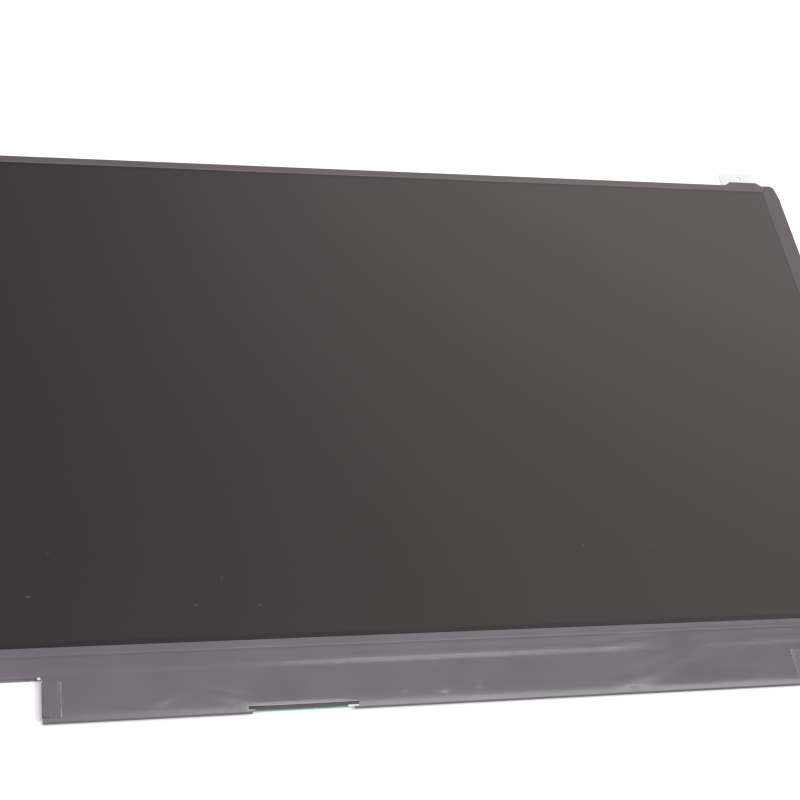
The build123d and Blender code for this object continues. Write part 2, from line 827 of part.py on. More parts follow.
# Each piece goes to its own file
pieces = {
    "back_plate": back_plate,
    "moulded_frame": moulded_frame,
    "reflector_sheet": reflector_sheet,
    "light_guide": light_guide,
    "diffuser_sheet": diffuser_sheet,
    "lower_prism_sheet": lower_prism_sheet,
    "upper_prism_sheet": upper_prism_sheet,
    "led_strip": led_strip,
    "leds": leds,
    "cell_foam_tape": cell_foam_tape,
    "rear_polarizer": rear_polarizer,
    "tft_glass": tft_glass,
    "colour_filter_glass": colour_filter_glass,
    "front_polarizer": front_polarizer,
    "control_board": control_board,
    "driver_films": driver_films,
    "driver_chips": driver_chips,
    "board_cover_film": board_cover_film,
    "left_end_tape": left_end_tape,
    "right_end_tape": right_end_tape,
    "left_edge_tape": left_edge_tape,
    "right_edge_tape": right_edge_tape,
    "top_edge_tape": top_edge_tape,
    "socket_housing": socket_housing,
    "socket_shell": socket_shell,
    "socket_contacts": socket_contacts,
    "backlight_socket": backlight_socket,
    "timing_controller": timing_controller,
    "backlight_driver": backlight_driver,
    "power_coil": power_coil,
    "board_capacitors": board_capacitors,
    "board_back_film": board_back_film,
}
os.makedirs("parts", exist_ok=True)
for name, piece in pieces.items():
    piece.part.label = name
    export_step(piece.part, f"parts/{name}.step")
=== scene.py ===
import json
from math import ceil, radians, tan

import bpy
from mathutils import Matrix, Vector


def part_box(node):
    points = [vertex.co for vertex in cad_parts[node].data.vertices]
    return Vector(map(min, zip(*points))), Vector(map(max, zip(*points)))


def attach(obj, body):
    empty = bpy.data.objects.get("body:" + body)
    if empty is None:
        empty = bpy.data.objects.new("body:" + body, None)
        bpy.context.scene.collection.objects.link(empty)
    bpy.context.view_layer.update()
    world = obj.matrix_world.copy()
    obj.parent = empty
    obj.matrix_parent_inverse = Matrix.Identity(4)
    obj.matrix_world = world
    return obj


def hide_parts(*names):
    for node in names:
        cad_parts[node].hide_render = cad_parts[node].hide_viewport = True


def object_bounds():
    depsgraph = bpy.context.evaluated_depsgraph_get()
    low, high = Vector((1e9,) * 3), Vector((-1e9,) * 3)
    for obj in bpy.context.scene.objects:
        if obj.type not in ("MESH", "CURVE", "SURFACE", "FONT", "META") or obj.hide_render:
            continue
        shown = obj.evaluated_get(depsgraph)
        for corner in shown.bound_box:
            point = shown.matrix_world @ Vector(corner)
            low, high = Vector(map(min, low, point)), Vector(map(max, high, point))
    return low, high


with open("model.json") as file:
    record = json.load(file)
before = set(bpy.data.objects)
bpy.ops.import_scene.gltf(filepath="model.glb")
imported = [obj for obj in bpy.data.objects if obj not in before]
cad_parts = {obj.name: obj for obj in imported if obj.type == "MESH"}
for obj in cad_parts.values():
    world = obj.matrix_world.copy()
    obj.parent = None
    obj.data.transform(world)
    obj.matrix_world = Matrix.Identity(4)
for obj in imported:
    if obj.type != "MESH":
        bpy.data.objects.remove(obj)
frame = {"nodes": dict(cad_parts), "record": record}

# Dressed laptop screen panel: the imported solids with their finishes, and the films and tapes
# that lie over them. Blender's lengths are metres, so sizes in millimetres are multiplied by MM.
MM = 0.001
cad_low, cad_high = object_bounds()
nodes = frame["nodes"]
record = frame["record"]

# Camera of the photograph
CAMERA_PLACE = Vector((-135.34, -299.89, 425.88)) * MM
CAMERA_AIM = Vector((-0.01, -7.40, 1.5)) * MM
CAMERA_ROLL = radians(20.30)
CAMERA_LENS = 67.80

# Two places closer than this count as one
NEAR = 0.01 * MM

# Folded sheets: one step of a bend, and the sharpest edge that is shaded smooth
BEND_STEP = radians(18)
SMOOTH_ANGLE = radians(27)

# Cover film: its sheet, the lip on the glass and the step down to the ledge
FILM_GAUGE = 0.1 * MM
FILM_CELL = 0.8 * MM
FILM_ROW = 0.45 * MM
FILM_BEND = 0.35 * MM
FLAP_BEND = 0.9 * MM
LIP_CURL = 0.06 * MM
SHOULDER_REACH = 1.05 * MM
SHOULDER_RISE = 0.10 * MM
EDGE_OVERHANG = 0.1 * MM
LEDGE_STEP = 0.8 * MM
LEDGE_REACH = 0.6 * MM
LEDGE_EASE = 0.03 * MM

# Cover film: its rise over the board by the distance from its front edge, both in mm
FLAP_ROLL = {
    10.0: 0.295,
    8.0: 0.34,
    6.9: 0.39,
    6.0: 0.42,
    5.2: 0.42,
    4.5: 0.40,
    3.8: 0.362,
    3.1: 0.31,
    2.7: 0.272,
    2.3: 0.222,
    1.9: 0.158,
    1.5: 0.078,
    1.1: -0.008,
    0.7: -0.095,
    0.4: -0.18,
    0.15: -0.32,
    0.0: -0.58,
}

# Cover film: strip, flap, the walls beside the flap, notch, reliefs and slack
STRIP_REACH = 2.2 * MM
STRIP_LIFT = 0.37 * MM
SLOPE_REACH = 4.4 * MM
SLOPE_LIFT = 0.30 * MM
FLAP_DRAW = 0.2 * MM
FLAP_RETURN = 2.6 * MM
WALL_RETURN = 3.4 * MM
WALL_GAP = 0.25 * MM
WALL_CLEARANCE = 0.15 * MM
WALL_SHOULDER = 0.17 * MM
EAR_GAP = 9.25 * MM
NOTCH_WIDTH = 34.05 * MM
NOTCH_DEPTH = 2.1 * MM
STUB_LENGTH = 1.3 * MM
STUB_DEPTH = 0.5 * MM
TAB_LENGTH = 2.0 * MM
TAB_SLIT = 1.0 * MM
CUT_EDGE = 0.25 * MM
RELIEF_RADIUS = 0.85 * MM
RELIEF_OFFSET = 0.95 * MM
RELIEF_DEPTH = 0.75 * MM
RELIEF_TOP = 0.25 * MM
RELIEF_SETBACK = 0.35 * MM
PAD_RADIUS = 0.62 * MM
PAD_GAUGE = 0.1 * MM
SLACK = 0.12 * MM
SLACK_SIZE = 11 * MM
SLACK_MIDDLE = 0.45
SLACK_START = 4 * MM
SLACK_END = 3 * MM

# End tapes, and the strip and the tongue in the notch
TAPE_GAUGE = 0.1 * MM
TAPE_RETURN = 4.0 * MM
TAPE_LIP = 0.3 * MM
TAPE_LIP_DROP = 0.07 * MM
TAPE_LIP_FLAT = 0.06 * MM
FOOT_SHADE = 0.22 * MM
FOOT_INNER = 2.8 * MM
FOOT_LEFT_END = 1.7 * MM
FOOT_RIGHT_END = 2.4 * MM
GHOST_INSET = 0.9 * MM
GHOST_HALF = 0.08 * MM
TAPE_EASE = 0.04 * MM
TAPE_RISE = 0.5 * MM
UNDER_GAUGE = 0.04 * MM
UNDER_MARGIN = 1.5 * MM
UNDER_SETBACK = 0.2 * MM
UNDER_GAP = 0.01 * MM
TONGUE_LENGTH = 3.6 * MM
TONGUE_WIDTH = 0.5 * MM

# Floor and surroundings
FLOOR_SIZE = 40
FLOOR_DROP = 0.1 * MM
FLOOR_GLOW = 0.35
WORLD_LIGHT = 0.55

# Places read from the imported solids
filter_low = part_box("colour_filter_glass")[0]
array_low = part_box("tft_glass")[0]
board_low, board_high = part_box("control_board")
film_low, film_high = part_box("board_cover_film")
driver_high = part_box("driver_films")[1]
left_tape_low, left_tape_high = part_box("left_end_tape")
right_tape_low, right_tape_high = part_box("right_end_tape")
top_tape_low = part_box("top_edge_tape")[0]
side_tape_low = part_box("right_edge_tape")[0]
shell_low, shell_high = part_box("socket_shell")
polarizer_low, polarizer_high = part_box("front_polarizer")
mounts = {mount["name"]: mount for mount in record["mounts"]}
ear_x = mounts["screw_ears"]["dims"]["spacing_x_mm"] * MM / 2

# Levels and edges of the film's outer side
film_face = film_high.z
film_ledge = driver_high.z + FILM_GAUGE
film_board = left_tape_high.z - TAPE_GAUGE
flap_y = film_low.y + FLAP_DRAW
strip_y = array_low.y - STRIP_REACH
wall_y = side_tape_low.y - WALL_RETURN - WALL_CLEARANCE
wall_foot = film_low.z
notch_left = (shell_low.x + shell_high.x - NOTCH_WIDTH) / 2
notch_right = notch_left + NOTCH_WIDTH
notch_top = flap_y + NOTCH_DEPTH
tab_right = notch_left + TAB_LENGTH
tab_top = notch_top - TAB_SLIT
flap_line = [(strip_y, STRIP_LIFT), (array_low.y - SLOPE_REACH, SLOPE_LIFT)]
flap_line += [(flap_y + reach * MM, lift * MM) for reach, lift in FLAP_ROLL.items()]


# Tools for folded sheets
def run_to(path, end, step):
    """Adds a straight run to a path, in even steps."""
    start = path[-1]
    cuts = max(1, ceil((end - start).length / step))
    for cut in range(1, cuts + 1):
        path.append(start.lerp(end, cut / cuts))


def rounded_path(points, radius, step):
    """Points along a folded path: its corners are rounded and its runs are cut into steps."""
    corners = [Vector(point) for point in points]
    path = [corners[0]]
    for before, corner, after in zip(corners, corners[1:], corners[2:]):
        arrive = (corner - before).normalized()
        leave = (after - corner).normalized()
        turn = arrive.angle(leave)
        room = 0.45 * min((corner - before).length, (after - corner).length)
        reach = min(radius * tan(turn / 2), room)
        bend_start = corner - arrive * reach
        bend_end = corner + leave * reach
        run_to(path, bend_start, step)
        bends = max(2, ceil(turn / BEND_STEP))
        for bend in range(1, bends + 1):
            share = bend / bends
            path.append(bend_start.lerp(corner, share).lerp(corner.lerp(bend_end, share), share))
    run_to(path, corners[-1], step)
    return path


def deselect_all():
    """Leaves edit mode and selects nothing."""
    if bpy.context.object and bpy.context.object.mode != "OBJECT":
        bpy.ops.object.mode_set(mode="OBJECT")
    bpy.ops.object.select_all(action="DESELECT")


def choose(piece):
    """Selects one piece and makes it the active one."""
    deselect_all()
    piece.select_set(True)
    bpy.context.view_layer.objects.active = piece


def select_points(piece, chosen):
    """Selects the points of a piece that a test chooses, and goes into edit mode."""
    bpy.ops.object.mode_set(mode="EDIT")
    bpy.context.tool_settings.mesh_select_mode = (True, False, False)
    bpy.ops.mesh.select_all(action="DESELECT")
    bpy.ops.object.mode_set(mode="OBJECT")
    for vertex in piece.data.vertices:
        vertex.select = bool(chosen(vertex.co))
    bpy.ops.object.mode_set(mode="EDIT")


def select_faces(piece, chosen):
    """Selects the faces of a piece whose middle a test chooses, and goes into edit mode."""
    bpy.ops.object.mode_set(mode="EDIT")
    bpy.context.tool_settings.mesh_select_mode = (False, False, True)
    bpy.ops.mesh.select_all(action="DESELECT")
    bpy.ops.object.mode_set(mode="OBJECT")
    for face in piece.data.polygons:
        face.select = bool(chosen(face.center))
    bpy.ops.object.mode_set(mode="EDIT")


def start_strip(name, low, high, cuts_x, cuts_y):
    """A flat grid between two corners, at the height of the first."""
    deselect_all()
    bpy.ops.mesh.primitive_grid_add(x_subdivisions=cuts_x, y_subdivisions=cuts_y, size=1)
    piece = bpy.context.object
    piece.name = name
    bpy.ops.object.mode_set(mode="EDIT")
    bpy.ops.mesh.select_all(action="SELECT")
    bpy.ops.transform.resize(value=(abs(high[0] - low[0]), abs(high[1] - low[1]), 1))
    middle = (Vector(low) + Vector(high)) / 2
    bpy.ops.transform.translate(value=(middle.x, middle.y, low[2]))
    bpy.ops.object.mode_set(mode="OBJECT")
    return piece


def extrude_along(path, as_step):
    """Extrudes the selected row from point to point of a path, and leaves edit mode."""
    for before, after in zip(path, path[1:]):
        step = as_step(after - before)
        bpy.ops.mesh.extrude_region_move(TRANSFORM_OT_translate={"value": step})
    bpy.ops.object.mode_set(mode="OBJECT")


def cut_across(piece, place, normal):
    """Cuts a line of edges through the whole piece."""
    bpy.ops.object.mode_set(mode="EDIT")
    bpy.ops.mesh.select_all(action="SELECT")
    bpy.ops.mesh.bisect(plane_co=place, plane_no=normal)
    bpy.ops.object.mode_set(mode="OBJECT")


def pull(piece, start, end, reach, lift):
    """Lifts or presses a sheet's upper side along a line, fading out all round. Sizes are in mm."""
    line_start = Vector(start) * MM
    line = Vector(end) * MM - line_start
    crease = piece.vertex_groups.new(name="crease")
    for vertex in piece.data.vertices:
        offset = vertex.co.xy - line_start
        along = min(max(offset.dot(line) / line.length_squared, 0), 1)
        near = 1 - (offset - line * along).length / (reach * MM)
        if near > 0 and vertex.co.z > board_high.z:
            fade = 1 - (2 * along - 1) ** 4
            crease.add([vertex.index], fade * near * near * (3 - 2 * near), "REPLACE")
    apply_modifier(
        piece, "DISPLACE", direction="Z", strength=lift * MM, mid_level=0, vertex_group="crease"
    )
    piece.vertex_groups.clear()


def apply_modifier(piece, kind, **values):
    """Adds a modifier with its values and applies it."""
    choose(piece)
    modifier = piece.modifiers.new(kind.title(), kind)
    for name, value in values.items():
        setattr(modifier, name, value)
    bpy.ops.object.modifier_apply(modifier=modifier.name)


def close_sheet(piece, gauge):
    """Turns an open sheet's faces up, gives it its thickness below and shades it."""
    choose(piece)
    bpy.ops.object.mode_set(mode="EDIT")
    bpy.ops.mesh.select_all(action="SELECT")
    bpy.ops.mesh.remove_doubles(threshold=NEAR / 10)
    bpy.ops.mesh.normals_make_consistent(inside=False)
    bpy.ops.object.mode_set(mode="OBJECT")
    top_face = max(piece.data.polygons, key=lambda face: face.center.z)
    if top_face.normal.z < 0:
        bpy.ops.object.mode_set(mode="EDIT")
        bpy.ops.mesh.select_all(action="SELECT")
        bpy.ops.mesh.flip_normals()
        bpy.ops.object.mode_set(mode="OBJECT")
    apply_modifier(piece, "SOLIDIFY", thickness=gauge, offset=-1)
    bpy.ops.object.shade_smooth_by_angle(angle=SMOOTH_ANGLE)


def bore(piece, place, radius, depth):
    """Cuts a round hole down into a closed sheet, as deep as is said."""
    deselect_all()
    bpy.ops.mesh.primitive_cylinder_add(vertices=40, radius=radius, depth=2 * depth, location=place)
    cutter = bpy.context.object
    apply_modifier(piece, "BOOLEAN", object=cutter, operation="DIFFERENCE", solver="EXACT")
    bpy.data.objects.remove(cutter)


def dress(piece, slot, *finishes):
    """Gives a new piece its finishes and lets it ride on the panel. Its slot is not used."""
    for finish in finishes:
        piece.data.materials.append(finish)
    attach(piece, "root")


# Shader effects that several finishes share
def add_node(tree, kind, **values):
    """Adds a node and sets its plain values."""
    node = tree.nodes.new(kind)
    for name, value in values.items():
        setattr(node, name, value)
    return node


def new_group(name, inputs, outputs):
    """An empty node group with named sockets."""
    group = bpy.data.node_groups.new(name, "ShaderNodeTree")
    for socket, kind in inputs.items():
        group.interface.new_socket(name=socket, in_out="INPUT", socket_type=kind)
    for socket, kind in outputs.items():
        group.interface.new_socket(name=socket, in_out="OUTPUT", socket_type=kind)
    return group, add_node(group, "NodeGroupInput"), add_node(group, "NodeGroupOutput")


def make_mottle():
    """Soft patches of a given size, as a shade from 0 to 1."""
    inputs = {"Vector": "NodeSocketVector", "Size": "NodeSocketFloat"}
    group, entry, leave = new_group("mottle", inputs, {"Shade": "NodeSocketFloat"})
    scale = add_node(group, "ShaderNodeMath", operation="DIVIDE")
    scale.inputs[0].default_value = 1
    noise = add_node(group, "ShaderNodeTexNoise")
    noise.inputs["Detail"].default_value = 4
    contrast = add_node(group, "ShaderNodeMapRange", interpolation_type="SMOOTHSTEP")
    contrast.inputs["From Min"].default_value = 0.25
    contrast.inputs["From Max"].default_value = 0.75
    group.links.new(entry.outputs["Size"], scale.inputs[1])
    group.links.new(entry.outputs["Vector"], noise.inputs["Vector"])
    group.links.new(scale.outputs[0], noise.inputs["Scale"])
    group.links.new(noise.outputs["Fac"], contrast.inputs["Value"])
    group.links.new(contrast.outputs["Result"], leave.inputs["Shade"])
    return group


def make_streaks():
    """Fine streaks along X, as the rolling of a sheet leaves them."""
    inputs = {"Vector": "NodeSocketVector", "Size": "NodeSocketFloat"}
    group, entry, leave = new_group("streaks", inputs, {"Shade": "NodeSocketFloat"})
    stretch = add_node(group, "ShaderNodeVectorMath", operation="MULTIPLY")
    stretch.inputs[1].default_value = (0.02, 1, 1)
    scale = add_node(group, "ShaderNodeMath", operation="DIVIDE")
    scale.inputs[0].default_value = 1
    noise = add_node(group, "ShaderNodeTexNoise")
    noise.inputs["Detail"].default_value = 6
    group.links.new(entry.outputs["Vector"], stretch.inputs[0])
    group.links.new(stretch.outputs["Vector"], noise.inputs["Vector"])
    group.links.new(entry.outputs["Size"], scale.inputs[1])
    group.links.new(scale.outputs[0], noise.inputs["Scale"])
    group.links.new(noise.outputs["Fac"], leave.inputs["Shade"])
    return group


def make_specks():
    """Sparse round specks of dust, as a mask."""
    inputs = {"Vector": "NodeSocketVector", "Spacing": "NodeSocketFloat", "Share": "NodeSocketFloat"}
    group, entry, leave = new_group("specks", inputs, {"Mask": "NodeSocketFloat"})
    scale = add_node(group, "ShaderNodeMath", operation="DIVIDE")
    scale.inputs[0].default_value = 1
    cells = add_node(group, "ShaderNodeTexVoronoi")
    inside = add_node(group, "ShaderNodeMath", operation="LESS_THAN")
    inside.inputs[1].default_value = 0.03
    split = add_node(group, "ShaderNodeSeparateColor")
    kept = add_node(group, "ShaderNodeMath", operation="LESS_THAN")
    both = add_node(group, "ShaderNodeMath", operation="MULTIPLY")
    group.links.new(entry.outputs["Spacing"], scale.inputs[1])
    group.links.new(entry.outputs["Vector"], cells.inputs["Vector"])
    group.links.new(scale.outputs[0], cells.inputs["Scale"])
    group.links.new(cells.outputs["Distance"], inside.inputs[0])
    group.links.new(cells.outputs["Color"], split.inputs["Color"])
    group.links.new(split.outputs["Red"], kept.inputs[0])
    group.links.new(entry.outputs["Share"], kept.inputs[1])
    group.links.new(inside.outputs[0], both.inputs[0])
    group.links.new(kept.outputs[0], both.inputs[1])
    group.links.new(both.outputs[0], leave.inputs["Mask"])
    return group


def make_fleck():
    """One soft fleck with its own middle and its own half sizes, as a mask."""
    inputs = {"Vector": "NodeSocketVector", "Middle": "NodeSocketVector", "Reach": "NodeSocketVector"}
    group, entry, leave = new_group("fleck", inputs, {"Mask": "NodeSocketFloat"})
    away = add_node(group, "ShaderNodeVectorMath", operation="SUBTRACT")
    share = add_node(group, "ShaderNodeVectorMath", operation="DIVIDE")
    length = add_node(group, "ShaderNodeVectorMath", operation="LENGTH")
    fade = add_node(group, "ShaderNodeMapRange", clamp=True)
    fade.inputs["From Min"].default_value = 1
    fade.inputs["From Max"].default_value = 0.4
    group.links.new(entry.outputs["Vector"], away.inputs[0])
    group.links.new(entry.outputs["Middle"], away.inputs[1])
    group.links.new(away.outputs["Vector"], share.inputs[0])
    group.links.new(entry.outputs["Reach"], share.inputs[1])
    group.links.new(share.outputs["Vector"], length.inputs[0])
    group.links.new(length.outputs["Value"], fade.inputs["Value"])
    group.links.new(fade.outputs["Result"], leave.inputs["Mask"])
    return group


def make_across():
    """Share of the way along X between two ends, from 0 to 1."""
    inputs = {"Vector": "NodeSocketVector", "Start": "NodeSocketFloat", "End": "NodeSocketFloat"}
    group, entry, leave = new_group("across", inputs, {"Share": "NodeSocketFloat"})
    split = add_node(group, "ShaderNodeSeparateXYZ")
    share = add_node(group, "ShaderNodeMapRange", clamp=True)
    group.links.new(entry.outputs["Vector"], split.inputs["Vector"])
    group.links.new(split.outputs["X"], share.inputs["Value"])
    group.links.new(entry.outputs["Start"], share.inputs["From Min"])
    group.links.new(entry.outputs["End"], share.inputs["From Max"])
    group.links.new(share.outputs["Result"], leave.inputs["Share"])
    return group


across = make_across()
mottle = make_mottle()
streaks = make_streaks()
specks = make_specks()
fleck = make_fleck()


# Parts of a finish
def new_finish(name):
    """A material with its shader, and the place on the object that its patterns read."""
    material = bpy.data.materials.new(name)
    material.use_nodes = True
    tree = material.node_tree
    coordinates = add_node(tree, "ShaderNodeTexCoord")
    return material, tree, tree.nodes["Principled BSDF"], coordinates.outputs["Object"]


def use_group(tree, group, place, **values):
    """Places a shared effect in a material, with its own values."""
    node = add_node(tree, "ShaderNodeGroup", node_tree=group)
    tree.links.new(place, node.inputs["Vector"])
    for name, value in values.items():
        node.inputs[name].default_value = value
    return node.outputs[0]


def blend(tree, share, first, second):
    """Colour between two tones. Each tone is a colour or a node's output."""
    mix = add_node(tree, "ShaderNodeMix", data_type="RGBA")
    tree.links.new(share, mix.inputs["Factor"])
    for name, tone in (("A", first), ("B", second)):
        socket = next(item for item in mix.inputs if item.name == name and item.type == "RGBA")
        if isinstance(tone, tuple):
            socket.default_value = (*tone, 1)
        else:
            tree.links.new(tone, socket)
    return next(item for item in mix.outputs if item.type == "RGBA")


def spread(tree, share, low, high):
    """Value between two ends."""
    ends = add_node(tree, "ShaderNodeMapRange", clamp=True)
    ends.inputs["To Min"].default_value = low
    ends.inputs["To Max"].default_value = high
    tree.links.new(share, ends.inputs["Value"])
    return ends.outputs["Result"]


def combine(tree, operation, first, second):
    """One sum on two values, each a number or a node's output."""
    node = add_node(tree, "ShaderNodeMath", operation=operation)
    for socket, value in zip(node.inputs, (first, second)):
        if isinstance(value, (int, float)):
            socket.default_value = value
        else:
            tree.links.new(value, socket)
    return node.outputs[0]


def emboss(tree, shader, height, depth):
    """Lets a height shape the surface's normal."""
    bump = add_node(tree, "ShaderNodeBump")
    bump.inputs["Distance"].default_value = depth
    tree.links.new(height, bump.inputs["Height"])
    tree.links.new(bump.outputs["Normal"], shader.inputs["Normal"])


def grained_finish(name, dark, light, patch, rough, grain, depth, **constants):
    """A finish whose tone drifts in soft patches and whose surface has a fine grain."""
    material, tree, shader, place = new_finish(name)
    shade = use_group(tree, mottle, place, Size=patch)
    tree.links.new(blend(tree, shade, dark, light), shader.inputs["Base Color"])
    tree.links.new(spread(tree, shade, rough[0], rough[1]), shader.inputs["Roughness"])
    emboss(tree, shader, use_group(tree, mottle, place, Size=grain), depth)
    for socket, value in constants.items():
        shader.inputs[socket.replace("_", " ")].default_value = value
    return material


def metal_finish(name, dark, light, streak, rough):
    """A rolled metal finish, with streaks along the sheet and dull patches."""
    material, tree, shader, place = new_finish(name)
    lines = use_group(tree, streaks, place, Size=streak)
    patches = use_group(tree, mottle, place, Size=60 * streak)
    tree.links.new(blend(tree, lines, dark, light), shader.inputs["Base Color"])
    tree.links.new(spread(tree, patches, rough[0], rough[1]), shader.inputs["Roughness"])
    emboss(tree, shader, lines, 0.004 * MM)
    shader.inputs["Metallic"].default_value = 1
    return material


# Matte display face with a dark border, and a few flecks of dust on it
ACTIVE_WIDTH = 344.23 * MM
ACTIVE_HEIGHT = 193.54 * MM
FLECK_COLOUR = (0.10, 0.09, 0.09)
FLECKS = {
    (-128.3, -81.4): (1.0, 0.35),
    (-68.8, -76.8): (0.35, 0.3),
    (-77.6, -86.0): (0.4, 0.35),
    (-57.6, -86.7): (0.45, 0.3),
    (-122.2, -66.3): (0.3, 0.3),
    (55.0, -68.2): (0.35, 0.35),
}


def past_active_area(tree, place):
    """Mask of the border that runs round the display's active area."""
    sides = add_node(tree, "ShaderNodeVectorMath", operation="ABSOLUTE")
    tree.links.new(place, sides.inputs[0])
    past = add_node(tree, "ShaderNodeVectorMath", operation="SUBTRACT")
    tree.links.new(sides.outputs[0], past.inputs[0])
    past.inputs[1].default_value = (ACTIVE_WIDTH / 2, ACTIVE_HEIGHT / 2, 0)
    axes = add_node(tree, "ShaderNodeSeparateXYZ")
    tree.links.new(past.outputs[0], axes.inputs[0])
    furthest = combine(tree, "MAXIMUM", axes.outputs["X"], axes.outputs["Y"])
    return combine(tree, "GREATER_THAN", furthest, 0)


def make_display_face():
    """Anti-glare face of the display: nearly black and matte, with painted sheen that makes it lighter
    and warmer to the right.
    """
    material, tree, shader, place = new_finish("display_face")
    # Painted sheen: the tone and the border grow lighter and warmer towards the right.
    side = use_group(tree, across, place, Start=polarizer_low.x, End=polarizer_high.x)
    tone = blend(tree, side, (0.0125, 0.0080, 0.0100), (0.0230, 0.0140, 0.0120))
    border = blend(tree, side, (0.0065, 0.0020, 0.0065), (0.0140, 0.0020, 0.0060))
    tone = blend(tree, past_active_area(tree, place), tone, border)
    dust = use_group(tree, specks, place, Spacing=16 * MM, Share=0.12)
    dust = combine(tree, "MULTIPLY", dust, 0.25)
    for (x, y), (reach_x, reach_y) in FLECKS.items():
        spot = use_group(
            tree,
            fleck,
            place,
            Middle=(x * MM, y * MM, polarizer_high.z),
            Reach=(reach_x * MM, reach_y * MM, MM),
        )
        dust = combine(tree, "MAXIMUM", dust, spot)
    tree.links.new(blend(tree, dust, tone, FLECK_COLOUR), shader.inputs["Base Color"])
    smears = use_group(tree, mottle, place, Size=70 * MM)
    tree.links.new(spread(tree, smears, 0.40, 0.43), shader.inputs["Roughness"])
    emboss(tree, shader, use_group(tree, mottle, place, Size=0.25 * MM), 0.002 * MM)
    return material


# Cover film, with painted shade round its left relief
RELIEF_SHADE_COLOUR = (0.045, 0.034, 0.042)
RELIEF_SHADES = {
    (-125.4, -108.15): (1.4, 1.0),
    (-128.4, -108.2): (2.8, 0.35),
}


def make_cover_finish():
    """Purple-grey film: dull, a little uneven and finely crinkled. Painted shade lies round the left
    relief and darkens the film towards the right.
    """
    material, tree, shader, place = new_finish("cover_film")
    patches = use_group(tree, mottle, place, Size=18 * MM)
    # Painted shade: the film's tone is darker towards the right, against the right lamp's light.
    left = blend(tree, patches, (0.137, 0.117, 0.140), (0.153, 0.130, 0.155))
    right = blend(tree, patches, (0.098, 0.084, 0.100), (0.112, 0.095, 0.113))
    tone = blend(tree, use_group(tree, across, place, Start=0, End=polarizer_high.x), left, right)
    # Painted shade: a dark ring round the left relief and a dark line along the fold beside it.
    for (x, y), (reach_x, reach_y) in RELIEF_SHADES.items():
        relief_shade = use_group(
            tree,
            fleck,
            place,
            Middle=(x * MM, y * MM, film_board),
            Reach=(reach_x * MM, reach_y * MM, 3 * MM),
        )
        tone = blend(tree, relief_shade, tone, RELIEF_SHADE_COLOUR)
    tree.links.new(tone, shader.inputs["Base Color"])
    tree.links.new(spread(tree, patches, 0.285, 0.325), shader.inputs["Roughness"])
    crinkles = use_group(tree, mottle, place, Size=3.5 * MM)
    emboss(tree, shader, crinkles, 0.025 * MM)
    return material


def make_edge_finish(name, axis, edge, width, dark, light, pale):
    """Tape finish with a painted highlight along the edge that faces the display: a pale line where the
    edge catches the light.
    """
    material, tree, shader, place = new_finish(name)
    patches = use_group(tree, mottle, place, Size=25 * MM)
    parts = add_node(tree, "ShaderNodeSeparateXYZ")
    tree.links.new(place, parts.inputs["Vector"])
    # Painted highlight: a pale band along the edge that faces the display, shown in patches.
    beside = combine(tree, "SUBTRACT", parts.outputs[axis], edge)
    line = combine(tree, "LESS_THAN", combine(tree, "ABSOLUTE", beside, 0), width)
    shown = combine(tree, "MULTIPLY", line, use_group(tree, mottle, place, Size=40 * MM))
    tone = blend(tree, patches, dark, light)
    tree.links.new(blend(tree, shown, tone, pale), shader.inputs["Base Color"])
    tree.links.new(spread(tree, patches, 0.42, 0.52), shader.inputs["Roughness"])
    emboss(tree, shader, use_group(tree, mottle, place, Size=1.2 * MM), 0.01 * MM)
    shader.inputs["Specular IOR Level"].default_value = TAPE_SHINE
    return material


def make_board_finish():
    """Green board: solder mask over fine tracks, with plated dots."""
    material, tree, shader, place = new_finish("board_green")
    patches = use_group(tree, mottle, place, Size=6 * MM)
    tone = blend(tree, patches, (0.02, 0.26, 0.175), (0.03, 0.32, 0.22))
    tracks = add_node(tree, "ShaderNodeTexBrick", offset=0.37, squash=1)
    tracks.inputs["Scale"].default_value = 1 / (9 * MM)
    tracks.inputs["Mortar Size"].default_value = 0.012
    tracks.inputs["Brick Width"].default_value = 1.6
    tracks.inputs["Row Height"].default_value = 0.12
    tree.links.new(place, tracks.inputs["Vector"])
    tone = blend(tree, tracks.outputs["Fac"], tone, (0.04, 0.38, 0.26))
    dots = use_group(tree, specks, place, Spacing=3 * MM, Share=0.5)
    tree.links.new(blend(tree, dots, tone, (0.62, 0.52, 0.30)), shader.inputs["Base Color"])
    tree.links.new(spread(tree, patches, 0.28, 0.36), shader.inputs["Roughness"])
    emboss(tree, shader, tracks.outputs["Fac"], 0.02 * MM)
    return material
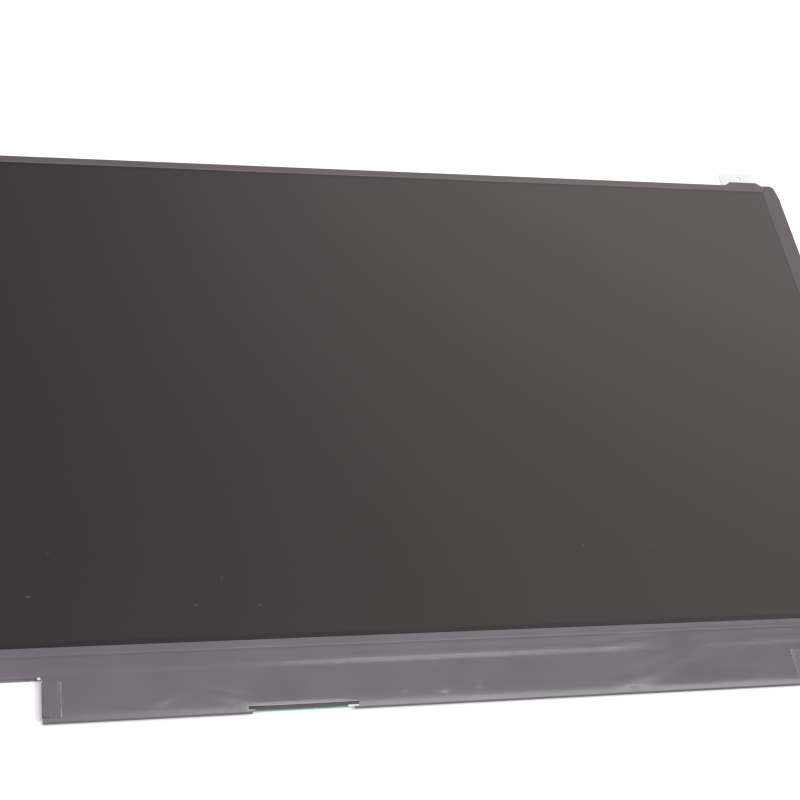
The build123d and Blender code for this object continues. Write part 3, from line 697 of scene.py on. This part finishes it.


# Finish of each slot in the record
# The side tapes are darker than the top tape: painted shade against the right lamp's light.
SIDE_DARK = (0.090, 0.073, 0.081)
SIDE_LIGHT = (0.104, 0.085, 0.093)
TOP_DARK = (0.112, 0.087, 0.086)
TOP_LIGHT = (0.128, 0.100, 0.098)
# Pale band on the top tape's edge: a painted highlight
TAPE_GLINT = (0.20, 0.175, 0.18)
EDGE_GLINT = 0.45 * MM
TAPE_SHINE = 0.25
finishes = {
    "plate_metal": metal_finish(
        "plate_metal", (0.57, 0.57, 0.57), (0.66, 0.66, 0.66), 0.3 * MM, (0.46, 0.56)
    ),
    "frame_plastic": grained_finish(
        "frame_plastic",
        (0.78, 0.78, 0.77),
        (0.84, 0.84, 0.83),
        12 * MM,
        (0.45, 0.55),
        0.2 * MM,
        0.01 * MM,
    ),
    "reflector_white": grained_finish(
        "reflector_white",
        (0.86, 0.86, 0.86),
        (0.92, 0.92, 0.92),
        30 * MM,
        (0.5, 0.6),
        0.4 * MM,
        0.005 * MM,
    ),
    "clear_sheet": grained_finish(
        "clear_sheet",
        (0.80, 0.82, 0.82),
        (0.88, 0.90, 0.90),
        40 * MM,
        (0.12, 0.2),
        0.3 * MM,
        0.003 * MM,
        Alpha=0.35,
    ),
    "diffuse_sheet": grained_finish(
        "diffuse_sheet",
        (0.84, 0.84, 0.85),
        (0.90, 0.90, 0.91),
        40 * MM,
        (0.55, 0.65),
        0.1 * MM,
        0.004 * MM,
        Alpha=0.8,
    ),
    "flex_circuit": grained_finish(
        "flex_circuit", (0.42, 0.20, 0.05), (0.52, 0.27, 0.08), 5 * MM, (0.3, 0.4), 0.6 * MM, 0.01 * MM
    ),
    "lamp_body": grained_finish(
        "lamp_body", (0.82, 0.80, 0.62), (0.88, 0.87, 0.74), 1.5 * MM, (0.35, 0.45), 0.1 * MM, 0.004 * MM
    ),
    "foam_tape": grained_finish(
        "foam_tape", (0.015, 0.015, 0.015), (0.03, 0.03, 0.03), 3 * MM, (0.8, 0.9), 0.12 * MM, 0.02 * MM
    ),
    "polarizer_dark": grained_finish(
        "polarizer_dark",
        (0.014, 0.013, 0.016),
        (0.02, 0.018, 0.022),
        50 * MM,
        (0.3, 0.36),
        0.3 * MM,
        0.003 * MM,
    ),
    "cell_glass": grained_finish(
        "cell_glass",
        (0.012, 0.012, 0.014),
        (0.02, 0.02, 0.022),
        30 * MM,
        (0.05, 0.1),
        0.5 * MM,
        0.001 * MM,
    ),
    "display_face": make_display_face(),
    "cover_film": make_cover_finish(),
    "end_tape": grained_finish(
        "end_tape",
        (0.132, 0.113, 0.135),
        (0.146, 0.125, 0.148),
        8 * MM,
        (0.4, 0.48),
        1.5 * MM,
        0.02 * MM,
    ),
    "edge_tape": grained_finish(
        "edge_tape",
        SIDE_DARK,
        SIDE_LIGHT,
        25 * MM,
        (0.42, 0.52),
        1.2 * MM,
        0.01 * MM,
        Specular_IOR_Level=TAPE_SHINE,
    ),
    "clear_film": grained_finish(
        "clear_film",
        (0.55, 0.40, 0.60),
        (0.61, 0.46, 0.66),
        10 * MM,
        (0.3, 0.4),
        2.5 * MM,
        0.01 * MM,
        Alpha=0.10,
    ),
    "board_green": make_board_finish(),
    "chip_black": grained_finish(
        "chip_black",
        (0.02, 0.02, 0.022),
        (0.035, 0.035, 0.037),
        2 * MM,
        (0.45, 0.55),
        0.08 * MM,
        0.004 * MM,
    ),
    "coil_grey": grained_finish(
        "coil_grey", (0.10, 0.10, 0.105), (0.15, 0.15, 0.155), 1.5 * MM, (0.5, 0.6), 0.1 * MM, 0.01 * MM
    ),
    "capacitor_tan": grained_finish(
        "capacitor_tan",
        (0.42, 0.30, 0.18),
        (0.52, 0.38, 0.24),
        0.8 * MM,
        (0.35, 0.45),
        0.1 * MM,
        0.004 * MM,
    ),
    "socket_plastic": grained_finish(
        "socket_plastic",
        (0.07, 0.07, 0.072),
        (0.10, 0.10, 0.102),
        3 * MM,
        (0.4, 0.5),
        0.1 * MM,
        0.005 * MM,
    ),
    "socket_metal": metal_finish(
        "socket_metal", (0.66, 0.65, 0.63), (0.80, 0.79, 0.77), 0.08 * MM, (0.22, 0.32)
    ),
    "contact_metal": metal_finish(
        "contact_metal", (0.78, 0.60, 0.28), (0.88, 0.70, 0.36), 0.05 * MM, (0.18, 0.26)
    ),
}

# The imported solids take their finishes, and the top tape one of its own
for subpart in record["subparts"]:
    node = nodes[subpart["node"]]
    node.data.materials.clear()
    node.data.materials.append(finishes[subpart["material_slot"]])
top_tape_finish = make_edge_finish(
    "top_edge_tape", "Y", top_tape_low.y, EDGE_GLINT, TOP_DARK, TOP_LIGHT, TAPE_GLINT
)
nodes["top_edge_tape"].data.materials[0] = top_tape_finish

# Finishes of single faces and of the small pieces
# Pale finish of the end tapes' inner edges: a painted highlight where the edges catch the light
tape_glint_finish = grained_finish(
    "tape_edge_glint", (0.16, 0.14, 0.16), (0.34, 0.31, 0.34), 2 * MM, (0.3, 0.4), 0.5 * MM, 0.01 * MM
)
# Pale finish of the film's cut edges at the notch: a painted highlight
film_cut_glint_finish = grained_finish(
    "film_cut_glint", (0.24, 0.21, 0.23), (0.42, 0.39, 0.41), 3 * MM, (0.3, 0.4), 0.5 * MM, 0.01 * MM
)
# Pale finish of the tongue at the notch: a painted highlight
tongue_glint_finish = grained_finish(
    "tongue_glint", (0.72, 0.69, 0.71), (0.84, 0.82, 0.83), 1.5 * MM, (0.3, 0.4), 0.4 * MM, 0.01 * MM
)
# Dark finish: painted shade, on the strip under the film's cut edge in the notch and along the tapes'
# feet
shade_film_finish = grained_finish(
    "painted_shade_film", (0.075, 0.058, 0.062), (0.095, 0.074, 0.078), 4 * MM, (0.5, 0.6), 1 * MM, 0.01 * MM
)


# Cover film over the lower edge and the board
def in_flap(place):
    """Whether a place lies in the flap's width."""
    return board_low.x - NEAR < place.x < board_high.x + NEAR


def in_walls(place):
    """Whether a place lies where the film is folded down round the panel's edge."""
    beside_ear = abs(abs(place.x) - ear_x) > EAR_GAP - NEAR
    beside_flap = not board_low.x - WALL_GAP + NEAR < place.x < board_high.x + WALL_GAP - NEAR
    return beside_ear and beside_flap


def fold_cover_film():
    """The open film, folded from the glass down over the board and round the lower edge."""
    inner_corner = (filter_low.y - LEDGE_STEP, film_ledge)
    lip = rounded_path(
        [
            (film_high.y, film_face),
            (filter_low.y + 2 * SHOULDER_REACH, film_face),
            (filter_low.y + SHOULDER_REACH, film_face + SHOULDER_RISE),
            (filter_low.y - EDGE_OVERHANG, film_face),
            inner_corner,
        ],
        FILM_BEND,
        FILM_ROW,
    )
    ledge = rounded_path(
        [
            inner_corner,
            (array_low.y + LEDGE_REACH, film_ledge + LEDGE_EASE),
            (array_low.y - LEDGE_REACH, film_ledge - LEDGE_EASE),
            (strip_y, film_board + STRIP_LIFT),
        ],
        FILM_BEND,
        FILM_ROW,
    )
    shared = lip + ledge[1:]
    columns = ceil((film_high.x - film_low.x) / FILM_CELL)
    film = start_strip(
        "cover_film",
        (film_low.x, shared[0].x, film_face),
        (film_high.x, shared[1].x, film_face),
        columns,
        1,
    )
    select_points(film, lambda place: place.y > shared[0].x - NEAR)
    bpy.ops.transform.translate(value=(0, 0, LIP_CURL))
    select_points(film, lambda place: abs(place.y - shared[1].x) < NEAR)
    extrude_along(shared[1:], lambda step: (0, step.x, step.y))
    wall_ends = [board_low.x - WALL_GAP, board_high.x + WALL_GAP]
    wall_ends += [side * ear_x + gap for side in (-1, 1) for gap in (-EAR_GAP, EAR_GAP)]
    for cut in [board_low.x, board_high.x, notch_left, notch_right] + wall_ends:
        cut_across(film, (cut, 0, 0), (1, 0, 0))

    flap_top = [(y, film_board + lift) for y, lift in flap_line]
    under = [(flap_y, board_low.z - FILM_GAUGE), (flap_y + FLAP_RETURN, board_low.z - FILM_GAUGE)]
    flap = rounded_path(flap_top + under, FLAP_BEND, FILM_ROW)
    select_points(film, lambda place: abs(place.y - strip_y) < NEAR and in_flap(place))
    extrude_along(flap, lambda step: (0, step.x, step.y))

    wall = rounded_path(
        [
            tuple(shared[-1]),
            (wall_y, film_board + WALL_SHOULDER),
            (wall_y, wall_foot),
            (wall_y + WALL_RETURN, wall_foot),
        ],
        FILM_BEND,
        FILM_ROW,
    )
    select_points(film, lambda place: abs(place.y - strip_y) < NEAR and in_walls(place))
    extrude_along(wall, lambda step: (0, step.x, step.y))
    return film


def crease_cover_film(film):
    """Creases of the film, its bumps over parts of the board and one dent at its front edge."""
    pull(film, (-64, -104.7), (61, -104.7), 3.4, 0.23)
    pull(film, (42, -105.6), (88, -101.3), 3.4, 0.17)
    pull(film, (108, -104.2), (140, -103.4), 3.4, 0.13)
    pull(film, (44, -110.3), (70, -101.8), 4.6, 0.13)
    pull(film, (56, -119.0), (104, -101.4), 5.4, 0.28)
    pull(film, (54, -119.6), (90, -106.6), 4.8, 0.17)
    pull(film, (89, -113.0), (112, -101.5), 4.6, 0.16)
    pull(film, (102, -118.2), (119, -111.4), 4.2, 0.06)
    pull(film, (-94, -118.0), (-80, -112.6), 3.0, 0.20)
    pull(film, (-82, -112.5), (-58, -119.8), 3.2, 0.26)
    pull(film, (-118, -113.0), (-106, -115.0), 3.2, 0.12)
    pull(film, (-144, -105.0), (-129, -102.2), 1.8, 0.16)
    pull(film, (-16.6, -116.9), (-13.4, -116.9), 1.6, 0.10)
    pull(film, (-4.1, -117.5), (-0.1, -117.5), 1.8, 0.16)
    pull(film, (7.7, -116.5), (10.9, -116.5), 1.6, 0.14)
    pull(film, (59.0, -120.7), (63.8, -120.7), 1.2, -0.10)


def loosen(film):
    """Small uneven slack in the free part of the film, none where it is stuck down."""
    free = film.vertex_groups.new(name="free")
    for vertex in film.data.vertices:
        below = min(max((filter_low.y - vertex.co.y) / SLACK_START, 0), 1)
        above = min(max((vertex.co.y - flap_y) / SLACK_END, 0), 1)
        if vertex.co.z > board_high.z:
            free.add([vertex.index], below * above, "REPLACE")
    clouds = bpy.data.textures.new("slack", "CLOUDS")
    clouds.noise_basis = "IMPROVED_PERLIN"
    clouds.noise_scale = SLACK_SIZE
    apply_modifier(
        film,
        "DISPLACE",
        texture=clouds,
        texture_coords="LOCAL",
        direction="Z",
        strength=SLACK,
        mid_level=SLACK_MIDDLE,
        vertex_group="free",
    )
    film.vertex_groups.clear()


def cut_notch(film):
    """Opens the film over the display socket. A tab and stubs of its folded edge stay in it."""
    for y in (notch_top + CUT_EDGE, notch_top, tab_top, tab_top - CUT_EDGE, flap_y + STUB_DEPTH):
        cut_across(film, (0, y, 0), (0, 1, 0))
    for x in (notch_left - CUT_EDGE, notch_left + STUB_LENGTH, tab_right, notch_right - STUB_LENGTH):
        cut_across(film, (x, 0, 0), (1, 0, 0))

    def in_notch(place):
        """Whether a face lies in the opening."""
        if not notch_left < place.x < notch_right or place.y > notch_top and place.z > board_low.z:
            return False
        if place.z < board_low.z - FILM_GAUGE / 2:
            return place.y < strip_y
        if place.y < flap_y + STUB_DEPTH:
            return notch_left + STUB_LENGTH < place.x < notch_right - STUB_LENGTH
        return place.y > tab_top or place.x > tab_right

    select_faces(film, in_notch)
    bpy.ops.mesh.delete(type="FACE")
    bpy.ops.object.mode_set(mode="OBJECT")
    edge = (notch_left / MM + 1, notch_top / MM), (notch_right / MM - 1, notch_top / MM)
    pull(film, *edge, 1.2, -0.14)


def paint_cut_glint(film):
    """Gives the film's cut edges at the notch and its tab a paler finish: a painted highlight where the
    edges catch the light.
    """
    for face in film.data.polygons:
        place = face.center
        on_top = notch_top - NEAR < place.y < notch_top + CUT_EDGE
        on_tab = tab_top - CUT_EDGE < place.y < tab_top + NEAR
        over_notch = notch_left - CUT_EDGE < place.x < notch_right
        over_tab = notch_left - CUT_EDGE < place.x < tab_right
        at_left = notch_left - CUT_EDGE < place.x < notch_left + NEAR
        beside = at_left and tab_top < place.y < notch_top
        if place.z > board_high.z and (on_top and over_notch or on_tab and over_tab or beside):
            face.material_index = 1


cover_film = fold_cover_film()
cut_notch(cover_film)
crease_cover_film(cover_film)
loosen(cover_film)
close_sheet(cover_film, FILM_GAUGE)
relief_y = wall_y - RELIEF_SETBACK
reliefs = {"left": board_low.x - RELIEF_OFFSET, "right": board_high.x + RELIEF_OFFSET}
for relief_x in reliefs.values():
    bore(cover_film, (relief_x, relief_y, film_board + RELIEF_TOP), RELIEF_RADIUS, RELIEF_DEPTH)
dress(cover_film, "cover_film", finishes["cover_film"], film_cut_glint_finish)
paint_cut_glint(cover_film)
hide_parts("board_cover_film")


# Pale pads under the film, seen through its reliefs
def make_relief_pad(name, x):
    """A small round pad on the plate's edge, with its rim eased."""
    deselect_all()
    middle = (x, relief_y + PAD_RADIUS, film_board)
    bpy.ops.mesh.primitive_circle_add(vertices=36, radius=PAD_RADIUS, fill_type="NGON", location=middle)
    pad = bpy.context.object
    pad.name = name
    bpy.ops.object.transform_apply(location=True)
    close_sheet(pad, PAD_GAUGE)
    apply_modifier(pad, "BEVEL", width=PAD_GAUGE / 4, segments=2)
    dress(pad, "frame_plastic", finishes["frame_plastic"])


for side, pad_x in reliefs.items():
    make_relief_pad(side + "_relief_pad", pad_x)


# Tapes round the ends of the board
def make_end_tape(name, low, high, inner, end, foot_inner, foot_end, node):
    """A tape from its inner edge over the board's end and back underneath. Its foot is cut aslant."""
    way = 1 if end > inner else -1
    path = rounded_path(
        [
            (inner, high.z - TAPE_LIP_DROP),
            (inner + way * TAPE_LIP_FLAT, high.z - TAPE_LIP_DROP),
            (inner + way * TAPE_LIP, high.z),
            (inner + way * (GHOST_INSET - GHOST_HALF), high.z),
            (inner + way * (GHOST_INSET + GHOST_HALF), high.z),
            (end, high.z),
            (end, low.z),
            (end - way * TAPE_RETURN, low.z),
        ],
        FILM_BEND,
        FILM_ROW,
    )
    foot = min(foot_inner, foot_end)
    tape = start_strip(
        name,
        (path[0].x, foot, path[0].y),
        (path[1].x, high.y, path[0].y),
        1,
        ceil((high.y - foot) / FILM_ROW),
    )
    select_points(tape, lambda place: abs(place.x - path[1].x) < NEAR / 10)
    extrude_along(path[1:], lambda step: (step.x, 0, step.y))
    bpy.ops.object.mode_set(mode="EDIT")
    bpy.ops.mesh.select_all(action="SELECT")
    aslant = Vector((end - inner, foot_end - foot_inner, 0)).cross(Vector((0, 0, way)))
    bpy.ops.mesh.bisect(plane_co=(inner, foot_inner, 0), plane_no=aslant, clear_outer=True)
    bpy.ops.object.mode_set(mode="OBJECT")
    cut_across(tape, (inner, foot_inner + FOOT_SHADE, 0), aslant)
    select_faces(tape, lambda place: place.z < board_low.z and place.y < low.y)
    bpy.ops.mesh.delete(type="FACE")
    bpy.ops.object.mode_set(mode="OBJECT")
    lay_on_film(tape)
    close_sheet(tape, TAPE_GAUGE)
    dress(tape, "end_tape", finishes["end_tape"], tape_glint_finish, shade_film_finish)
    # Faces along the inner edge take the pale finish, a painted highlight where the edge catches the
    # light.
    for face in tape.data.polygons:
        inward = abs(face.center.x - inner)
        share = inward / abs(end - inner)
        above_foot = face.center.y - foot_inner - share * (foot_end - foot_inner)
        hook = inward < 3 * TAPE_LIP and face.center.y > high.y - FILM_ROW
        ghost = abs(inward - GHOST_INSET) < FILM_ROW / 4 and face.center.y > (low.y + high.y) / 2
        if face.center.z > board_high.z and (inward < TAPE_LIP or hook or ghost):
            face.material_index = 1
        # Faces along the foot take the dark finish, a painted shadow where the tape stands off the film.
        elif above_foot < FOOT_SHADE and share > 0.6:
            face.material_index = 2
    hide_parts(node)


def lay_on_film(tape):
    """Lifts a tape's upper side on to the film under it."""
    climb = tape.vertex_groups.new(name="climb")
    for vertex in tape.data.vertices:
        if vertex.co.z > board_high.z:
            lift = film_lift(vertex.co.y) + TAPE_EASE
            climb.add([vertex.index], lift / TAPE_RISE, "REPLACE")
    apply_modifier(
        tape, "DISPLACE", direction="Z", strength=TAPE_RISE, mid_level=0, vertex_group="climb"
    )
    tape.vertex_groups.clear()


def film_lift(y):
    """How far the film stands above its level on the board, at one place along Y."""
    for (start_y, start_lift), (end_y, end_lift) in zip(flap_line, flap_line[1:]):
        if end_y <= y <= start_y:
            share = (start_y - y) / (start_y - end_y)
            return start_lift + share * (end_lift - start_lift)
    return 0


make_end_tape(
    "left_tape",
    left_tape_low,
    left_tape_high,
    left_tape_high.x,
    left_tape_low.x,
    flap_y + FOOT_INNER,
    flap_y + FOOT_LEFT_END,
    "left_end_tape",
)
make_end_tape(
    "right_tape",
    right_tape_low,
    right_tape_high,
    right_tape_low.x,
    right_tape_high.x,
    flap_y + FOOT_INNER,
    flap_y + FOOT_RIGHT_END,
    "right_end_tape",
)


# Dark strip on the board's front, seen in the notch: painted shade under the film's cut edge
def make_shade_film():
    """A thin dark strip between the board and the cover film, that paints the shade under the film's cut
    edge.
    """
    level = board_high.z + UNDER_GAUGE + UNDER_GAP
    low = (notch_left - UNDER_MARGIN, board_low.y + UNDER_SETBACK, level)
    high = (notch_right + UNDER_MARGIN, notch_top + UNDER_MARGIN, level)
    strip = start_strip("painted_shade_film", low, high, 60, 6)
    close_sheet(strip, UNDER_GAUGE)
    dress(strip, "cover_film", shade_film_finish)


make_shade_film()


# Pale tongue of film wrapped round the board's edge at the notch's right end: its pale finish is a
# painted highlight
def make_tongue():
    """A small wedge of film on the board's face and down its edge, with a pale finish that paints a
    highlight.
    """
    root = notch_right + STUB_LENGTH / 4
    tip = root - TONGUE_LENGTH
    front = board_low.y - 2 * UNDER_GAUGE
    level = board_high.z + 3 * UNDER_GAUGE
    tongue = start_strip("notch_tongue", (tip, front, level), (root, front + TONGUE_WIDTH, level), 18, 4)
    select_points(tongue, lambda place: place.y < front + NEAR / 10)
    drop = [Vector((front, level)), Vector((front, board_low.z + UNDER_GAUGE))]
    extrude_along(drop, lambda step: (0, step.x, step.y))
    bpy.ops.object.mode_set(mode="EDIT")
    bpy.ops.mesh.select_all(action="SELECT")
    aslant = (-TONGUE_WIDTH, TONGUE_LENGTH, 0)
    bpy.ops.mesh.bisect(plane_co=(tip, front, level), plane_no=aslant, clear_outer=True)
    bpy.ops.object.mode_set(mode="OBJECT")
    close_sheet(tongue, UNDER_GAUGE)
    dress(tongue, "cover_film", tongue_glint_finish)


make_tongue()


# Floor, light and camera
def make_floor():
    """White floor, a little brighter to the camera so that only the shadow shows on it."""
    deselect_all()
    bpy.ops.mesh.primitive_plane_add(size=FLOOR_SIZE, location=(0, 0, cad_low.z - FLOOR_DROP))
    floor = bpy.context.object
    floor.name = "floor"
    material = bpy.data.materials.new("floor_white")
    material.use_nodes = True
    tree = material.node_tree
    shader = tree.nodes["Principled BSDF"]
    shader.inputs["Base Color"].default_value = (0.85, 0.85, 0.85, 1)
    shader.inputs["Roughness"].default_value = 0.9
    shader.inputs["Emission Color"].default_value = (1, 1, 1, 1)
    seen = add_node(tree, "ShaderNodeLightPath")
    direct = combine(tree, "MAXIMUM", seen.outputs["Is Camera Ray"], seen.outputs["Is Glossy Ray"])
    direct = combine(tree, "MAXIMUM", direct, seen.outputs["Is Transmission Ray"])
    glow = combine(tree, "MULTIPLY", direct, FLOOR_GLOW)
    tree.links.new(glow, shader.inputs["Emission Strength"])
    floor.data.materials.append(material)


def make_world():
    """Even white surroundings."""
    world = bpy.data.worlds.new("studio")
    bpy.context.scene.world = world
    world.use_nodes = True
    background = world.node_tree.nodes["Background"]
    background.inputs["Color"].default_value = (1, 1, 1, 1)
    background.inputs["Strength"].default_value = WORLD_LIGHT


def make_softbox(name, place, aim, width, depth, power):
    """A soft lamp that looks at a point."""
    light = bpy.data.lights.new(name, "AREA")
    light.shape = "RECTANGLE"
    light.size = width
    light.size_y = depth
    light.energy = power
    lamp = bpy.data.objects.new(name, light)
    bpy.context.scene.collection.objects.link(lamp)
    lamp.location = place
    lamp.rotation_euler = (Vector(aim) - Vector(place)).to_track_quat("-Z", "Y").to_euler()


def make_camera():
    """The photograph's camera, turned about its own axis."""
    lens = bpy.data.cameras.new("camera")
    lens.sensor_width = 36
    lens.lens = CAMERA_LENS
    camera = bpy.data.objects.new("camera", lens)
    bpy.context.scene.collection.objects.link(camera)
    facing = (CAMERA_AIM - CAMERA_PLACE).to_track_quat("-Z", "Y").to_matrix()
    turned = facing @ Matrix.Rotation(CAMERA_ROLL, 3, "Z")
    camera.matrix_world = Matrix.Translation(CAMERA_PLACE) @ turned.to_4x4()
    bpy.context.scene.camera = camera


make_floor()
make_world()
make_softbox("right_softbox", (1.0, 1.36, 0.97), (0.4, 0, 0), 1.6, 1.1, 11)
make_softbox("overhead_softbox", (0.62, -0.28, 1.25), (0.62, -0.15, 0), 1.2, 0.4, 12)
make_camera()
bpy.context.scene.view_settings.view_transform = "Standard"
